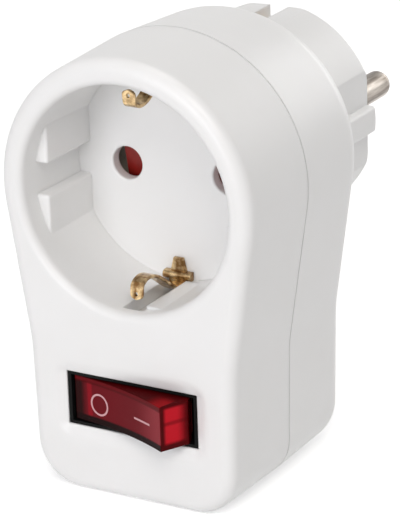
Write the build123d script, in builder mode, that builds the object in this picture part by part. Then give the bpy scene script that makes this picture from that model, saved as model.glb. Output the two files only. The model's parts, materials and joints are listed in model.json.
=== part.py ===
from build123d import *
from math import acos, atan2, cos, hypot, radians, sin, tan
import os

# Switched socket adapter, in millimetres. X is to the right, +Y points from the socket side to the
# plug side and +Z is up. The origin is the centre of the plug's flat end face.

# Housing
rim_y = -53.0
seam_y = -34.7
shoulder_y = -13.0
head_radius = 23.8
head_z = -0.8
bend_x = 19.75
bend_z = -27.9
foot_x = 19.1
base_z = -53.22
bend_radius = 26.0
foot_radius = 8.0
wall = 2.2
front_draft = 0.35
back_draft = 0.55
front_crown = 0.4
back_crown = 0.6
front_edge_radius = 2.3
seam_groove = 0.12
seam_groove_depth = 0.25
shoulder_radius = 6.2
back_wall = 2.5
far = 60.0
back_hollow_radius = 3.0
base_flat = 0.02

# Socket
socket_z = -1.1
pin_x = 9.5
recess_depth = 17.4
recess_radius = 18.9
mouth_radius = 19.05
lip_radius = 1.4
cup_radius = 22.2
cup_inner_radius = 20.9
floor_thickness = 2.0
hole_radius = 2.8
hole_edge_radius = 0.35
floor_cut = floor_thickness + 2
guide_x = 16.55
guide_setback = 4.4
guide_groove = 5.4
guide_edge_radius = 0.5
clip_slot_width = 4.0
clip_slot_height = 5.0
clip_slot_z = 21.2
clip_slot_setback = 2.4
clip_root = 19.6
clip_play = 0.4
pad_x = 3.5
pad_width = 3.0
pad_z = 18.35
pad_gap = 1.6
pad_length = 12.6
post_circle = 16.6
carrier_post_radius = 1.8
floor_sink = 0.5
floor_y = rim_y + recess_depth
floor_back_y = floor_y + floor_thickness

# Plug
plug_radius = 18.5
plug_edge_radius = 1.0
flat_x = 16.55
flat_length = 12.3
rib_width = 4.4
rib_edge_radius = 0.45
crown_z = 17.65
end_wall = 3.0
plug_wall = 2.3
plug_hollow_radius = 7.0
earth_slot_width = 3.6
earth_z = 15.1
pin_radius = 2.4
pin_length = 19.0
pin_tip_radius = 1.9
pin_root_radius = 2.0
pin_relief_radius = 2.5
pin_relief_depth = 0.3
pin_flange_radius = 3.2
pin_rivet_radius = 2.2
pin_boss_radius = 4.2
pin_flange_y = -6.5
pin_flange = 1.5
pin_tail_radius = 1.5

# Brass strip
strip = 0.6
strip_width = 3.0
tongue_width = 2.4
tip_reach = 17.6
tip_chamfer = 0.6
tip_hole_radius = 0.4
fold_radius = 0.7
fold_reach = 17.9
fold_width = 5.2
fold_seat = 0.1
fold_root_reach = 19.0
fold_root_height = 1.0
fold_root_length = 1.1
tab_reach = 16.6
tab_width = 3.4
tab_angle = 76
contact_end_y = -1.2
crank_start_y = -27.6
crank_end_y = -31.4
root_end_y = -37.4
crank_bend = 1.2
tongue_bend = 0.9
tongue_start_y = -38.2
tongue_bends = [(-44.4, 15.2), (-47.1, 14.75), (-48.9, 15.7)]
tip_y = -49.3
tip_hole_y = -48.0
tip_hole_inset = 0.75

# Screws and the bosses that they hold
screw_radius = 1.45
screw_hole_play = 0.15
hub_pilot_depth = 4.4
boss_pilot_depth = 9.0
screw_head_radius = 2.7
screw_head_height = 1.8
drive_width = 3.2
drive_slot = 0.7
drive_depth = 0.9
well_radius = 2.95
boss_radius = 3.9
post_radius = 3.4
base_screw_x = 12.0
base_screw_z = -46.5
base_seat_y = -22.0
boss_joint_y = -30.0
base_screw_length = 16.0
centre_seat_y = -12.6
centre_screw_length = 19.6

# Carrier, contacts and shutter
hub_radius = 3.0
carrier_radius = 20.2
carrier_y = -30.5
carrier_back_y = -28.5
pocket_size = 9.4
pocket_wall = 1.2
pocket_radius = 1.5
notch_width = 5.0
notch_height = 8.0
pocket_back_y = -16.8
sleeve_base_y = -16.4
sleeve_radius = 2.45
sleeve = 0.5
sleeve_flare = 0.45
sleeve_mouth = 1.3
sleeve_mouth_y = carrier_back_y + 0.3
slit_width = 1.0
slit_end_y = sleeve_base_y - 1.5
bridge_y = -17.2
bridge_width = 7.0
flange_end_y = -22.5
tail_z = -6.2
tail_width = 4.6
tail_bend = 0.8
lug_end_z = 2.8
lug_radius = 3.0
live_tail_length = 7.4
live_lug_length = 7.2
rivet_y = -20.4
rivet_radius = 0.8
rivet_head = 0.5
rivet_head_radius = 1.3
shutter_front_y = -33.3
shutter_back_y = -30.9
shutter_half_angle = 20.5
shutter_reach = 11.4
shutter_radius = 13.2
shutter_hub_radius = 5.0
hub_play = 0.06
ramp_x = 5.2
ramp_width = 8.0
ramp_start = -3.0
ramp_end = 5.5
ramp_depth = 1.7
arm_angle = 19.0
arm_reach = 8.4
arm_width = 2.0
spring_z = socket_z + 7.0
spring_start_x = -0.8
spring_end_x = 8.3
spring_wire = 0.175
spring_radius = 0.95
spring_coils = 5
spring_stop = 1.6
spring_stop_height = 2.8

# Switch
switch_z = -36.9
window_width = 24.7
window_height = 9.4
window_y = -52.3
window_radius = 0.25
dish_margin = 2.0
dish_radius = 3.2
dish_edge_radius = 3.5
nose_width = 24.5
nose_height = 9.2
box_width = 26.6
box_height = 11.6
box_front_y = rim_y + wall
box_back_y = -37.0
box_rib = 1.5
box_rib_gap = 0.05
box_rib_height = 9.5
box_rib_y = box_back_y - 4
chamber_width = 23.2
chamber_height = 8.2
pivot_y = -49.8
pivot_radius = 1.0
rocker_tilt = 16.5
rocker_x = 10.25
rocker_height = 7.8
rocker_front = 5.0
rocker_dip = 0.95
rocker_wall = 1.2
rocker_side_wall = 0.9
rocker_wide_y = 0.3
rocker_back_y = 2.6
rocker_flare = 1.0
rocker_taper = 0.5
bearing_play = 0.05
tube_radius = 2.0
tube_reach = 4.6
tube_length = 8.0
plunger_radius = 1.1
plunger_reach = 7.3
plunger_length = 4.3
plunger_play = 0.15
plunger_bore = 6.5
rocker_spring_start = -1.9
rocker_spring_length = 4.9
rocker_spring_radius = 0.85
rocker_spring_wire = 0.18
rocker_spring_coils = 4
lamp_y = -0.9
lamp_inner_x = 3.2
lamp_outer_x = 7.8
lamp_radius = 1.7
resistor_radius = 1.1
lead_radius = 0.2
lead_bend = 0.3
lead_gap = 0.5
lead_end_y = 2.2
lever_y = -41.8
lever_tilt = 8.0
lever_length = 13.0
lever_width = 3.4
lever_thickness = 0.5
tip_radius = 1.0
tip_height = 0.4
tip_x = 5.6
lever_gap = 0.2
tip_gap = 0.3
terminal_x = 8.0
blade_width = 4.0
blade = 0.8
blade_end_y = -30.5
lamp_blade_length = 10.5

# Wires
wire_radius = 1.1
lamp_wire_radius = 0.8


def across(y):
    # Upright plane at depth y: its x is X, its y is Z, and extrusions run towards the socket side.
    return Plane.XZ.offset(-y)


def save(piece, name):
    piece.part.label = name
    export_step(piece.part, f"parts/{name}.step")


def housing_outline(inset, draft, crown, y):
    # A round head whose two tangents run down to a bend, and nearly upright sides below it. The
    # draft draws in the head and the sides, and leaves the base level. The crown lowers the top.
    radius = head_radius - inset - draft - crown / 2
    centre_z = head_z - crown / 2
    bend = (bend_x - inset - draft, bend_z)
    foot = (foot_x - inset - draft, base_z + inset)
    reach = hypot(bend[0], bend[1] - centre_z)
    angle = atan2(bend[1] - centre_z, bend[0]) + acos(radius / reach)
    tangent = (radius * cos(angle), centre_z + radius * sin(angle))
    right = [tangent, bend, foot]
    left = [(-x, z) for x, z in reversed(right)]
    with BuildSketch(across(y)) as outline:
        with Locations((0, centre_z)):
            Circle(radius)
        with BuildLine():
            Polyline(*right, *left, close=True)
        make_face()
        fillet(outline.vertices().group_by(Axis.Y)[0], foot_radius - inset)
        fillet(outline.vertices().filter_by(lambda v: abs(v.Y - bend_z) < 0.01), bend_radius)
    return outline.sketch


def housing_body(inset, draft, crown, end_y):
    # The body between the seam and end_y, which is narrower and lower at that end.
    with BuildPart() as body:
        add(housing_outline(inset, 0, 0, seam_y))
        add(housing_outline(inset, draft, crown, end_y))
        loft(ruled=True)
    return body.part


def flatten_base():
    # Cuts the underside level, just inside its rounded edges.
    with Locations((0, seam_y, base_z + base_flat)):
        Box(far, far, 2, align=(Align.CENTER, Align.CENTER, Align.MAX), mode=Mode.SUBTRACT)


def cut_seam(direction):
    # A shallow step round the outside of a shell at the seam, which shows as a fine line.
    with BuildSketch(across(seam_y)) as ring:
        add(housing_outline(-1.0, 0, 0, seam_y))
        add(housing_outline(seam_groove_depth, 0, 0, seam_y), mode=Mode.SUBTRACT)
    extrude(ring.sketch, amount=direction * seam_groove, mode=Mode.SUBTRACT)


def discs(y, centres, radius, length, mode=Mode.ADD):
    # Round posts or holes that end at depth y and run towards the socket side.
    with BuildSketch(across(y)) as profile:
        with Locations(*centres):
            Circle(radius)
    extrude(profile.sketch, amount=length, mode=mode)


def block(y, centre, width, height, length, mode=Mode.ADD):
    # A block across the adapter that ends at depth y and runs towards the socket side.
    with BuildSketch(across(y)) as profile:
        with Locations(centre):
            Rectangle(width, height)
    extrude(profile.sketch, amount=length, mode=mode)


def strip_along(points, bend, x, width):
    # Brass strip of constant thickness, bent along points (y, z) in the upright plane at x.
    with BuildLine(Plane.YZ.offset(x)) as path:
        FilletPolyline(*points, radius=bend)
    with BuildSketch(Plane(origin=path.line @ 0, x_dir=(1, 0, 0), z_dir=path.line % 0)) as section:
        Rectangle(width, strip)
    sweep(section.sketch, path=path.line)


def wire(name, points, radius):
    # An insulated lead, eight-sided, on straight runs and tangent arcs as large as the runs allow.
    runs = [Vector(b) - Vector(a) for a, b in zip(points, points[1:])]
    bends = []
    for before, after in zip(runs, runs[1:]):
        half_turn = radians(before.get_angle(after)) / 2
        bends.append(0.45 * min(before.length, after.length) / tan(half_turn))
    print(name, "bend radii", [round(bend, 1) for bend in bends])
    with BuildPart() as lead:
        with BuildLine() as path:
            FilletPolyline(*points, radius=bends)
        with BuildSketch(Plane(origin=path.line @ 0, z_dir=path.line % 0)):
            RegularPolygon(radius, 8)
        sweep(path=path.line)
    save(lead, name)


os.makedirs("parts", exist_ok=True)
base_bosses = [(base_screw_x, base_screw_z), (-base_screw_x, base_screw_z)]
pin_centres = [(pin_x, 0), (-pin_x, 0)]
hole_centres = [(pin_x, socket_z), (-pin_x, socket_z)]
hub_centre = [(0, socket_z)]

# Guide blocks of the socket, with rounded edges and a groove between the upper and the lower one.
with BuildPart() as guides:
    with BuildSketch(across(floor_y)):
        with Locations((0, socket_z)):
            Circle(cup_inner_radius)
            Rectangle(2 * guide_x, far, mode=Mode.SUBTRACT)
            Rectangle(far, guide_groove, mode=Mode.SUBTRACT)
    extrude(amount=recess_depth - guide_setback)
    guide_edges = guides.edges().filter_by(GeomType.LINE)
    guide_edges = guide_edges.filter_by(lambda e: e.center().Y < floor_y - 0.1)
    reach = cup_inner_radius - 0.5
    guide_edges = guide_edges.filter_by(lambda e: hypot(e.center().X, e.center().Z - socket_z) < reach)
    fillet(guide_edges, guide_edge_radius)

# Front shell: drafted body with rounded front edges, hollow behind, with the socket cup in its head.
front_body = housing_body(0, front_draft, front_crown, rim_y)
front_hollow = housing_body(wall, front_draft, front_crown, box_front_y)
with BuildPart() as front_shell:
    add(front_body)
    fillet(front_shell.faces().sort_by(Axis.Y)[0].edges(), front_edge_radius)
    flatten_base()
    cut_seam(1)
    add(front_hollow, mode=Mode.SUBTRACT)
    cup_back_y = seam_y - floor_sink
    inner_front_y = box_front_y - wall / 2
    discs(cup_back_y, hub_centre, cup_radius, cup_back_y - inner_front_y)
    discs(floor_back_y, hub_centre, cup_inner_radius, floor_thickness)
    # Hub of the shutter, posts under the contact carrier and bosses for the lower screws.
    sunk_y = floor_y + floor_sink
    discs(carrier_back_y, hub_centre, hub_radius, carrier_back_y - sunk_y)
    with BuildSketch(across(carrier_y)):
        with Locations((0, socket_z)):
            with PolarLocations(post_circle, 2, start_angle=45):
                Circle(carrier_post_radius)
    extrude(amount=carrier_y - sunk_y)
    discs(boss_joint_y, base_bosses, post_radius, boss_joint_y - inner_front_y)
    # Stop of the shutter spring and ribs beside the switch box.
    stop_x = spring_end_x + spring_stop / 2
    block(shutter_back_y, (stop_x, spring_z), spring_stop, spring_stop_height, shutter_back_y - sunk_y)
    for side in (1, -1):
        rib_x = side * (box_width / 2 + box_rib / 2 + box_rib_gap)
        block(box_rib_y, (rib_x, switch_z), box_rib, box_rib_height, box_rib_y - inner_front_y)
    # The recess, wider at its mouth.
    with BuildSketch(across(floor_y)):
        with Locations((0, socket_z)):
            Circle(recess_radius)
    with BuildSketch(across(rim_y)):
        with Locations((0, socket_z)):
            Circle(mouth_radius)
    loft(mode=Mode.SUBTRACT)
    lip = front_shell.edges().filter_by(GeomType.CIRCLE)
    lip = lip.filter_by(lambda e: abs(e.radius - mouth_radius) < 0.01)
    fillet(lip, lip_radius)
    # A flat pad on the wall beside the root of each earth clip.
    for side in (1, -1):
        pad_height = cup_inner_radius - pad_z
        pad_centre = (-side * pad_x, socket_z + side * (pad_z + pad_height / 2))
        block(floor_y - pad_gap, pad_centre, pad_width, pad_height, pad_length)
    # Slots of the earth clips, in the wall and through the floor.
    for side in (1, -1):
        slot_centre = (0, socket_z + side * (clip_slot_z - clip_slot_height / 2))
        slot_length = recess_depth - clip_slot_setback
        block(floor_y, slot_centre, clip_slot_width, clip_slot_height, slot_length, Mode.SUBTRACT)
        root_centre = (0, socket_z + side * clip_root)
        root_width = strip_width + clip_play
        block(floor_back_y + 1, root_centre, root_width, strip + clip_play, floor_cut, Mode.SUBTRACT)
    add(guides.part)
    # Pin holes, pilot holes and the window of the switch in its shallow dish.
    discs(floor_back_y + 1, hole_centres, hole_radius, floor_cut, Mode.SUBTRACT)
    hole_edges = front_shell.edges().filter_by(GeomType.CIRCLE)
    hole_edges = hole_edges.filter_by(lambda e: abs(e.radius - hole_radius) < 0.01)
    fillet(hole_edges.filter_by(lambda e: abs(e.center().Y - floor_y) < 0.01), hole_edge_radius)
    discs(carrier_back_y, hub_centre, screw_radius, hub_pilot_depth, Mode.SUBTRACT)
    discs(boss_joint_y, base_bosses, screw_radius, boss_pilot_depth, Mode.SUBTRACT)
    dish_width = window_width + 2 * dish_margin
    dish_height = window_height + 2 * dish_margin
    with BuildSketch(across(rim_y)):
        with Locations((0, switch_z)):
            RectangleRounded(dish_width, dish_height, dish_radius)
    with BuildSketch(across(window_y)):
        with Locations((0, switch_z)):
            RectangleRounded(window_width, window_height, window_radius)
    loft(mode=Mode.SUBTRACT)
    dish_edges = front_shell.edges().filter_by(lambda e: abs(e.center().Y - rim_y) < 0.01)
    dish_edges = dish_edges.filter_by(lambda e: abs(e.center().X) < dish_width / 2 + 0.1)
    dish_edges = dish_edges.filter_by(lambda e: abs(e.center().Z - switch_z) < dish_height / 2 + 0.1)
    fillet(dish_edges, dish_edge_radius)
    window_depth = box_front_y - rim_y
    block(box_front_y + 0.1, (0, switch_z), window_width, window_height, window_depth, Mode.SUBTRACT)
save(front_shell, "front_shell")

# Back shell: rounded shoulder, round plug body behind it, hollow, with the screw wells inside.
back_body = housing_body(0, back_draft, back_crown, shoulder_y)
with BuildPart() as back_hollow:
    add(housing_body(wall, back_draft, back_crown, shoulder_y - back_wall))
    fillet(back_hollow.faces().sort_by(Axis.Y)[-1].edges(), back_hollow_radius)
    with BuildSketch(across(-end_wall)):
        RectangleRounded(2 * (flat_x - plug_wall), 2 * (earth_z - plug_wall), plug_hollow_radius)
    extrude(amount=-shoulder_y + 2)
with BuildPart() as back_shell:
    add(back_body)
    fillet(back_shell.faces().sort_by(Axis.Y)[-1].edges(), shoulder_radius)
    flatten_base()
    cut_seam(-1)
    discs(0, [(0, 0)], plug_radius, -shoulder_y + 5)
    fillet(back_shell.faces().sort_by(Axis.Y)[-1].edges(), plug_edge_radius)
    add(back_hollow.part, mode=Mode.SUBTRACT)
    # Side flats beside a middle rib, crown flats and earth slots.
    with BuildSketch(across(0)):
        for side in (1, -1):
            beyond_flat = side * (flat_x + 5)
            with Locations((beyond_flat, rib_width / 2 + 10), (beyond_flat, -rib_width / 2 - 10)):
                Rectangle(10, 20)
            with Locations((0, side * (crown_z + 5))):
                Rectangle(30, 10)
            with Locations((0, side * (earth_z - strip / 2 + 5))):
                Rectangle(earth_slot_width, 10)
    extrude(amount=flat_length, mode=Mode.SUBTRACT)
    rib_edges = back_shell.edges().filter_by(Axis.Y).filter_by(lambda e: abs(e.center().X) > flat_x + 1)
    fillet(rib_edges.filter_by(lambda e: abs(abs(e.center().Z) - rib_width / 2) < 0.01), rib_edge_radius)
    for side in (1, -1):
        strip_centre = (0, side * earth_z)
        block(-1, strip_centre, strip_width + clip_play, strip + clip_play / 2, 16, Mode.SUBTRACT)
    # Bosses: one on the socket axis, one round each pin and two above the base.
    discs(-end_wall + 0.5, hub_centre, boss_radius, -end_wall + 0.5 - bridge_y - strip)
    discs(-end_wall + 0.5, pin_centres, pin_boss_radius, -end_wall + 0.5 - pin_flange_y)
    discs(shoulder_y - 1, base_bosses, boss_radius, shoulder_y - 1 - boss_joint_y)
    discs(0, hub_centre, well_radius, -centre_seat_y, Mode.SUBTRACT)
    discs(0, hub_centre, screw_radius + screw_hole_play, 20, Mode.SUBTRACT)
    discs(shoulder_y, base_bosses, well_radius, shoulder_y - base_seat_y, Mode.SUBTRACT)
    discs(shoulder_y, base_bosses, screw_radius + screw_hole_play, 20, Mode.SUBTRACT)
    discs(0, pin_centres, pin_root_radius, -pin_flange_y, Mode.SUBTRACT)
    discs(0, pin_centres, pin_relief_radius, pin_relief_depth, Mode.SUBTRACT)
save(back_shell, "back_shell")

# Screws: pan head in its well, shank into the pilot hole of the front shell.
def screw(centre, seat_y, length):
    discs(seat_y + screw_head_height, [centre], screw_head_radius, screw_head_height)
    discs(seat_y, [centre], screw_radius, length)
    head_y = seat_y + screw_head_height
    block(head_y, centre, drive_width, drive_slot, drive_depth, Mode.SUBTRACT)
    block(head_y, centre, drive_slot, drive_width, drive_depth, Mode.SUBTRACT)


with BuildPart() as centre_screw:
    screw((0, socket_z), centre_seat_y, centre_screw_length)
save(centre_screw, "centre_screw")
with BuildPart() as base_screws:
    for centre in base_bosses:
        screw(centre, base_seat_y, base_screw_length)
save(base_screws, "base_screws")

# Plug pins: round tip, narrower root in the plug body, flange against the boss inside and an upset
# tail through the strip.
tail_y = pin_flange_y - pin_flange
pin_profile = [
    (0, pin_length),
    (pin_radius, pin_length),
    (pin_radius, 0),
    (pin_root_radius, 0),
    (pin_root_radius, pin_flange_y),
    (pin_flange_radius, pin_flange_y),
    (pin_flange_radius, tail_y),
    (pin_tail_radius, tail_y),
    (pin_tail_radius, tail_y - strip),
    (pin_rivet_radius, tail_y - strip),
    (pin_rivet_radius, tail_y - 2 * strip),
    (0, tail_y - 2 * strip),
]
for side, name in ((-1, "plug_pin_live"), (1, "plug_pin_neutral")):
    axle = Plane(origin=(side * pin_x, 0, 0))
    with BuildPart() as pin:
        with BuildSketch(axle):
            with BuildLine():
                Polyline(*pin_profile, close=True)
            make_face()
        revolve(axis=Axis(axle.origin, (0, 1, 0)))
        fillet(pin.faces().sort_by(Axis.Y)[-1].edges(), pin_tip_radius)
    save(pin, name)

# Contact carrier: a plate with the pin holes, a pocket round each contact and a middle tube.
with BuildPart() as contact_carrier:
    discs(carrier_back_y, hub_centre, carrier_radius, carrier_back_y - carrier_y)
    pocket_length = pocket_back_y - carrier_back_y
    with BuildSketch(across(pocket_back_y)):
        with Locations(*hole_centres):
            RectangleRounded(pocket_size, pocket_size, pocket_radius)
    extrude(amount=pocket_length)
    discs(bridge_y, hub_centre, boss_radius, bridge_y - carrier_back_y)
    pocket_bore = pocket_size - 2 * pocket_wall
    for centre in hole_centres:
        block(pocket_back_y, centre, pocket_bore, pocket_bore, pocket_length, Mode.SUBTRACT)
    discs(carrier_back_y, hole_centres, hole_radius, carrier_back_y - carrier_y, Mode.SUBTRACT)
    discs(bridge_y, hub_centre, screw_radius + screw_hole_play, bridge_y - carrier_y, Mode.SUBTRACT)
    discs(carrier_back_y, hub_centre, hub_radius, carrier_back_y - carrier_y, Mode.SUBTRACT)
    for side in (1, -1):
        notch_centre = (0, socket_z + side * (carrier_radius + 1 - notch_height / 2))
        plate = carrier_back_y - carrier_y
        block(carrier_back_y, notch_centre, notch_width, notch_height, plate, Mode.SUBTRACT)
save(contact_carrier, "contact_carrier")


# Socket contacts: slit sleeves with a flared mouth, closed by a base that carries the tail.
def contact_sleeve(x):
    axle = Plane(origin=(x, 0, socket_z))
    outer = sleeve_radius + sleeve
    with BuildSketch(axle) as profile:
        with BuildLine():
            Polyline(
                (0, sleeve_base_y + strip),
                (outer, sleeve_base_y + strip),
                (outer, sleeve_mouth_y + sleeve_mouth),
                (outer + sleeve_flare, sleeve_mouth_y),
                (outer, sleeve_mouth_y),
                (sleeve_radius, sleeve_mouth_y + sleeve_mouth),
                (sleeve_radius, sleeve_base_y),
                (0, sleeve_base_y),
                close=True,
            )
        make_face()
    revolve(profile.sketch, axis=Axis(axle.origin, (0, 1, 0)))
    slit_length = slit_end_y - sleeve_mouth_y + 0.1
    block(slit_end_y, (x, socket_z), slit_width, 3 * outer, slit_length, Mode.SUBTRACT)


base_mid = sleeve_base_y + strip / 2
lug_mid = tail_y - strip / 2
with BuildPart() as socket_contact_neutral:
    contact_sleeve(pin_x)
    neutral_run = [(base_mid, socket_z), (base_mid, tail_z), (lug_mid, tail_z), (lug_mid, lug_end_z)]
    strip_along(neutral_run, tail_bend, pin_x, tail_width)
    discs(tail_y, [(pin_x, 0)], pin_tail_radius, strip, Mode.SUBTRACT)
save(socket_contact_neutral, "socket_contact_neutral")
with BuildPart() as socket_contact_live:
    contact_sleeve(-pin_x)
    tail_centre = (-pin_x - live_tail_length / 2, socket_z)
    block(sleeve_base_y + strip, tail_centre, live_tail_length, strip_width, strip)
save(socket_contact_live, "socket_contact_live")
with BuildPart() as live_lug:
    discs(tail_y, [(-pin_x, 0)], lug_radius, strip)
    block(tail_y, (-pin_x, -live_lug_length / 2), strip_width, live_lug_length, strip)
    discs(tail_y, [(-pin_x, 0)], pin_tail_radius, strip, Mode.SUBTRACT)
save(live_lug, "live_lug")


# Earth clips: contact face in the slot of the plug, root through the socket floor, and a tongue that
# rises towards the axis and hooks back at its tip. A fold and an upright tab lie on the floor.
def earth_clip(side, name):
    def at(y, reach):
        return (y, socket_z + side * reach)

    root_z = socket_z + side * clip_root
    with BuildPart() as clip:
        contact = [(contact_end_y, side * earth_z), (crank_start_y, side * earth_z)]
        root = [(crank_end_y, root_z), (root_end_y, root_z)]
        strip_along(contact + root, crank_bend, 0, strip_width)
        tongue = [at(root_end_y + 0.1, clip_root), at(tongue_start_y, clip_root)]
        tongue += [at(y, reach) for y, reach in tongue_bends]
        strip_along(tongue + [at(tip_y, tip_reach)], tongue_bend, 0, tongue_width)
        tip = clip.edges().filter_by(lambda e: abs(e.center().Z - socket_z - side * tip_reach) < 0.1)
        chamfer(tip.filter_by(lambda e: abs(e.length - strip) < 0.01), tip_chamfer)
        tip_hole = (0, socket_z + side * (tip_reach - tip_hole_inset))
        discs(tip_hole_y, [tip_hole], tip_hole_radius, 3, Mode.SUBTRACT)
        # The fold is a round roll on the floor, with the upright tab on its inner side.
        fold_y = floor_y - fold_seat
        with BuildSketch(Plane.YZ):
            with Locations(at(fold_y - fold_radius, fold_reach)):
                Circle(fold_radius)
            with Locations(at(fold_y - fold_radius / 2, fold_reach)):
                Rectangle(fold_radius, 2 * fold_radius)
        extrude(amount=fold_width / 2, both=True)
        fold_root = (0, socket_z + side * fold_root_reach)
        block(fold_y, fold_root, strip_width, fold_root_height, fold_root_length)
        with BuildSketch(across(fold_y)):
            with Locations((0, socket_z + side * tab_reach)):
                Trapezoid(tab_width, tab_width, tab_angle, rotation=0 if side < 0 else 180)
        extrude(amount=strip)
        with BuildSketch(Plane.XY):
            with Locations((0, rivet_y)):
                Circle(rivet_radius)
        extrude(amount=side * 2 * earth_z, mode=Mode.SUBTRACT)
    save(clip, name)


earth_clip(1, "earth_clip_top")
earth_clip(-1, "earth_clip_bottom")

# Earth bridge: upright plate between the carrier and the middle boss, a flange under each strip.
flange_z = earth_z - strip
with BuildPart() as earth_bridge:
    corner = bridge_y + strip / 2
    run = [(flange_end_y, flange_z), (corner, flange_z), (corner, -flange_z), (flange_end_y, -flange_z)]
    strip_along(run, tongue_bend, 0, bridge_width)
    discs(bridge_y + strip, hub_centre, screw_radius + screw_hole_play, strip, Mode.SUBTRACT)
    with BuildSketch(Plane.XY):
        with Locations((0, rivet_y)):
            Circle(rivet_radius)
    extrude(amount=2 * earth_z, both=True, mode=Mode.SUBTRACT)
save(earth_bridge, "earth_bridge")

# Rivets: a shank through the flange and the strip, with a flat head on each side.
with BuildPart() as earth_rivets:
    inner, outer = earth_z - 1.5 * strip, earth_z + strip / 2
    for side in (1, -1):
        for low, high, radius in (
            (inner, outer, rivet_radius),
            (inner - rivet_head, inner, rivet_head_radius),
            (outer, outer + rivet_head, rivet_head_radius),
        ):
            with BuildSketch(Plane.XY.offset(side * low)):
                with Locations((0, rivet_y)):
                    Circle(radius)
            extrude(amount=side * (high - low))
save(earth_rivets, "earth_rivets")

# Shutter: a hub with two wings over the pin holes, each with a ramp that the pin pushes aside, and
# an arm for the spring. The wings end in an upright edge.
shutter_thickness = shutter_back_y - shutter_front_y
with BuildPart() as shutter:
    with BuildSketch(across(shutter_back_y)):
        with Locations((0, socket_z)):
            Circle(shutter_radius)
            for side in (1, -1):
                with Locations((side * (shutter_reach + shutter_radius), 0)):
                    Rectangle(2 * shutter_radius, far, mode=Mode.SUBTRACT)
                with BuildLine():
                    out = shutter_radius + 2
                    far_z = socket_z + side * out
                    edge_z = socket_z + side * out * tan(radians(shutter_half_angle))
                    right = [(out, edge_z), (out, far_z)]
                    left = [(-out, far_z), (-out, edge_z)]
                    Polyline((0, socket_z), *right, *left, close=True)
                make_face(mode=Mode.SUBTRACT)
            Circle(shutter_hub_radius)
            with Locations(Location((0, 0, 0), (0, 0, arm_angle))):
                with Locations((0, arm_reach / 2)):
                    Rectangle(arm_width, arm_reach)
            Circle(hub_radius + hub_play, mode=Mode.SUBTRACT)
    extrude(amount=shutter_thickness)
    for side in (1, -1):
        with BuildSketch(Plane.YZ.offset(side * ramp_x)):
            with BuildLine():
                Polyline(
                    (shutter_front_y - 0.1, socket_z + side * ramp_start),
                    (shutter_front_y + ramp_depth, socket_z + side * ramp_end),
                    (shutter_front_y - 0.1, socket_z + side * ramp_end),
                    close=True,
                )
            make_face()
        extrude(amount=side * ramp_width, mode=Mode.SUBTRACT)
save(shutter, "shutter")


def coil(name, start, direction, length, radius, wire_radius, turns):
    # A compression spring along direction from start, as one swept helix of square wire.
    pitch = (length - 2 * wire_radius) / turns
    first = Vector(start) + Vector(direction) * wire_radius
    steps = 24
    with BuildLine() as path:
        Helix(pitch, pitch * turns, radius, center=first, direction=direction)
    points = [path.line @ (i / (steps * turns)) for i in range(steps * turns + 1)]
    apart = [(a - b).length for i, a in enumerate(points) for b in points[i + steps // 2:]]
    print(name, "least gap between turns", round(min(apart) - 2 * wire_radius, 2))
    with BuildSketch(Plane(origin=path.line @ 0, z_dir=path.line % 0)) as section:
        RegularPolygon(wire_radius, 4)
    sweep(section.sketch, path=path.line, is_frenet=True)


with BuildPart() as shutter_spring:
    spring_y = (shutter_front_y + shutter_back_y) / 2
    spring_start = (spring_start_x, spring_y, spring_z)
    spring_length = spring_end_x - spring_start_x
    coil("shutter_spring", spring_start, (1, 0, 0), spring_length,
         spring_radius, spring_wire, spring_coils)
save(shutter_spring, "shutter_spring")

# Switch body: nose in the window, box behind the wall, one open chamber, bearings for the rocker
# and slots for the blades.
with BuildPart() as switch_body:
    block(box_front_y, (0, switch_z), nose_width, nose_height, box_front_y - window_y - 0.1)
    block(box_back_y, (0, switch_z), box_width, box_height, box_back_y - box_front_y)
    chamber_back_y = box_back_y - 1.0
    chamber_depth = chamber_back_y - rim_y
    block(chamber_back_y, (0, switch_z), chamber_width, chamber_height, chamber_depth, Mode.SUBTRACT)
    with BuildSketch(Plane.XY.offset(switch_z)):
        with Locations((0, pivot_y)):
            Circle(pivot_radius + bearing_play)
    extrude(amount=box_height, both=True, mode=Mode.SUBTRACT)
    for x in (-terminal_x, 0, terminal_x):
        block(box_back_y, (x, switch_z), blade, blade_width, 1.0, Mode.SUBTRACT)
save(switch_body, "switch_body")

# Rocker, turned to its off position: hollow cap with a shallow dished face, flared ends, two bearing
# pins and a tube for the spring.
turn = radians(rocker_tilt)
rocker_plane = Plane(origin=(0, pivot_y, switch_z), x_dir=(cos(turn), -sin(turn), 0), z_dir=(0, 0, 1))


def rocker_profile(inset, back):
    x, front = rocker_x - inset, -rocker_front + inset
    wide, narrow = x + rocker_flare, x - rocker_taper
    with BuildSketch(rocker_plane) as profile:
        with BuildLine():
            ThreePointArc((-x, front), (0, front + rocker_dip), (x, front))
            right = [(x, front), (wide, rocker_wide_y), (narrow, back)]
            left = [(-narrow, back), (-wide, rocker_wide_y), (-x, front)]
            Polyline(*right, *left)
        make_face()
    return profile.sketch


rocker_axis = Vector(sin(turn), cos(turn), 0)


def along_rocker(reach):
    # Plane square to the tube of the rocker at this reach behind its bearings, facing the front.
    return Plane(origin=rocker_plane.origin + rocker_axis * reach, z_dir=-rocker_axis)


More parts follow.
